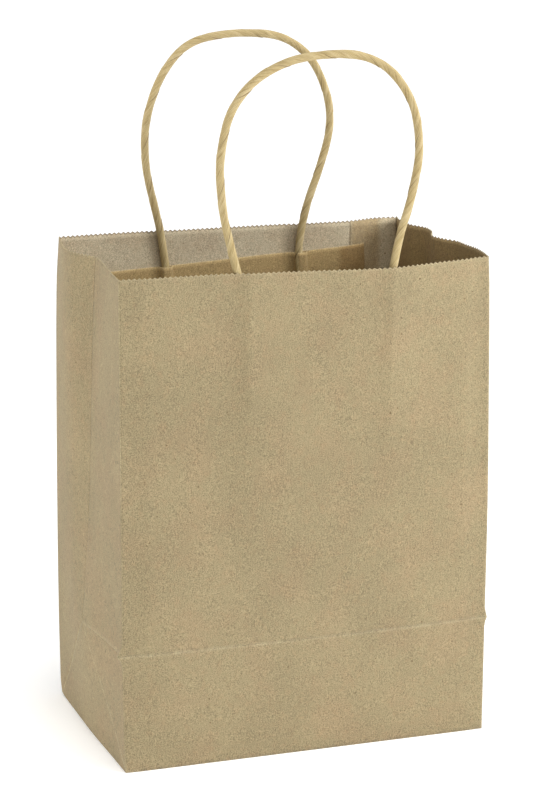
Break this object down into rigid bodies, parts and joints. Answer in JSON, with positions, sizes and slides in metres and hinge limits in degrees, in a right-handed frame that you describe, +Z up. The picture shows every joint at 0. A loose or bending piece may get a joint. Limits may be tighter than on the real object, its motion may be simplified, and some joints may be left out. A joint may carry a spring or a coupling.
{
  "type": "gift bag",
  "caption": "Kraft paper gift bag with a flat folded bottom, gusseted sides, a pinked rim and twisted paper cord handles.",
  "frame": {"origin": "on the floor under the middle of the open bag", "axes": "+X to the bag's right, +Y to the back, +Z up; the front panel faces -Y"},
  "size_m": [0.203, 0.13, 0.3769],
  "materials": {
    "kraft_paper": "matte",
    "patch_paper": "matte",
    "twisted_paper_cord": "matte"
  },
  "bodies": {
    "back_wall": {"back_panel": "kraft_paper", "seam_lap": "kraft_paper", "back_patch_base": "patch_paper", "back_patch_cover": "patch_paper", "back_handle_left_end": "twisted_paper_cord", "back_handle_right_end": "twisted_paper_cord"},
    "left_gusset_back": {"left_gusset_back": "kraft_paper"},
    "left_gusset_front": {"left_gusset_front": "kraft_paper"},
    "front_wall": {"front_panel_upper": "kraft_paper", "front_patch_base": "patch_paper", "front_patch_cover": "patch_paper", "front_handle_left_end": "twisted_paper_cord", "front_handle_right_end": "twisted_paper_cord"},
    "front_foot": {"front_panel_lower": "kraft_paper"},
    "left_front_triangle": {"left_front_triangle": "kraft_paper"},
    "right_front_triangle": {"right_front_triangle": "kraft_paper"},
    "right_gusset_back": {"right_gusset_back": "kraft_paper"},
    "right_gusset_front": {"right_gusset_front": "kraft_paper"},
    "bottom": {"bottom_left_fold": "kraft_paper", "bottom_right_fold": "kraft_paper", "bottom_back_flap": "kraft_paper", "bottom_front_flap": "kraft_paper"},
    "left_bottom_triangle": {"left_bottom_triangle": "kraft_paper"},
    "right_bottom_triangle": {"right_bottom_triangle": "kraft_paper"},
    "back_handle": {"back_handle": "twisted_paper_cord"},
    "front_handle": {"front_handle": "twisted_paper_cord"}
  },
  "joints": [
    {"name": "flat_fold", "type": "hinge", "parent": "back_wall", "child": "left_gusset_back", "pos_m": [-0.1013, 0.0646, 0.15], "axis": [0, 0, 1], "range_deg": [0, 83], "deforming": ["front_panel_lower", "left_front_triangle", "right_front_triangle", "left_bottom_triangle", "right_bottom_triangle", "bottom_left_fold", "bottom_right_fold", "bottom_back_flap", "bottom_front_flap"]},
    {"name": "left_gusset_crease", "type": "hinge", "parent": "left_gusset_back", "child": "left_gusset_front", "pos_m": [-0.1015, 0, 0.16], "axis": [0, 0, -1], "range_deg": [0, 166.05]},
    {"name": "front_left_corner", "type": "hinge", "parent": "left_gusset_front", "child": "front_wall", "pos_m": [-0.1013, -0.0648, 0.16], "axis": [0, 0, 1], "range_deg": [0, 83.05]},
    {"name": "right_back_corner", "type": "hinge", "parent": "back_wall", "child": "right_gusset_back", "pos_m": [0.1013, 0.0646, 0.15], "axis": [0, 0, -1], "range_deg": [0, 83.05]},
    {"name": "right_gusset_crease", "type": "hinge", "parent": "right_gusset_back", "child": "right_gusset_front", "pos_m": [0.1015, 0, 0.16], "axis": [0, 0, 1], "range_deg": [0, 166.05]},
    {"name": "front_crease", "type": "hinge", "parent": "front_wall", "child": "front_foot", "pos_m": [0, -0.065, 0.065], "axis": [-1, 0, 0], "range_deg": [0, 163.65]},
    {"name": "bottom_crease", "type": "hinge", "parent": "back_wall", "child": "bottom", "pos_m": [0, 0.0648, 0.0006], "axis": [-1, 0, 0], "range_deg": [0, 75.05]},
    {"name": "left_front_triangle_crease", "type": "hinge", "parent": "front_foot", "child": "left_front_triangle", "pos_m": [-0.1013, -0.0648, 0.03], "axis": [0, 0, -1], "range_deg": [0, 89.55]},
    {"name": "right_front_triangle_crease", "type": "hinge", "parent": "front_foot", "child": "right_front_triangle", "pos_m": [0.1013, -0.0648, 0.03], "axis": [0, 0, 1], "range_deg": [0, 89.55]},
    {"name": "left_bottom_triangle_crease", "type": "hinge", "parent": "bottom", "child": "left_bottom_triangle", "pos_m": [-0.1013, 0, 0.0006], "axis": [0, 1, 0], "range_deg": [0, 89.55]},
    {"name": "right_bottom_triangle_crease", "type": "hinge", "parent": "bottom", "child": "right_bottom_triangle", "pos_m": [0.1013, 0, 0.0006], "axis": [0, -1, 0], "range_deg": [0, 89.55]},
    {"name": "back_handle_swing", "type": "hinge", "parent": "back_wall", "child": "back_handle", "pos_m": [0.00035, 0.0623, 0.24995], "axis": [-0.9986, 0, -0.0523], "range_deg": [-27, 0], "stiffness_Nm_per_rad": 0.02, "deforming": ["back_handle"]},
    {"name": "front_handle_swing", "type": "hinge", "parent": "front_wall", "child": "front_handle", "pos_m": [0.0065, -0.0623, 0.24785], "axis": [1, 0, 0], "range_deg": [-27, 0], "stiffness_Nm_per_rad": 0.02, "deforming": ["front_handle"]}
  ],
  "couplings": [
    {"joint": "left_gusset_crease", "follows": "flat_fold", "ratio": 2},
    {"joint": "front_left_corner", "follows": "flat_fold", "ratio": 1},
    {"joint": "right_back_corner", "follows": "flat_fold", "ratio": 1},
    {"joint": "right_gusset_crease", "follows": "flat_fold", "ratio": 2},
    {"joint": "front_crease", "follows": "flat_fold", "ratio": 1.9711},
    {"joint": "bottom_crease", "follows": "flat_fold", "ratio": 0.9036},
    {"joint": "left_front_triangle_crease", "follows": "flat_fold", "ratio": 1.0783},
    {"joint": "right_front_triangle_crease", "follows": "flat_fold", "ratio": 1.0783},
    {"joint": "left_bottom_triangle_crease", "follows": "flat_fold", "ratio": 1.0783},
    {"joint": "right_bottom_triangle_crease", "follows": "flat_fold", "ratio": 1.0783}
  ]
}
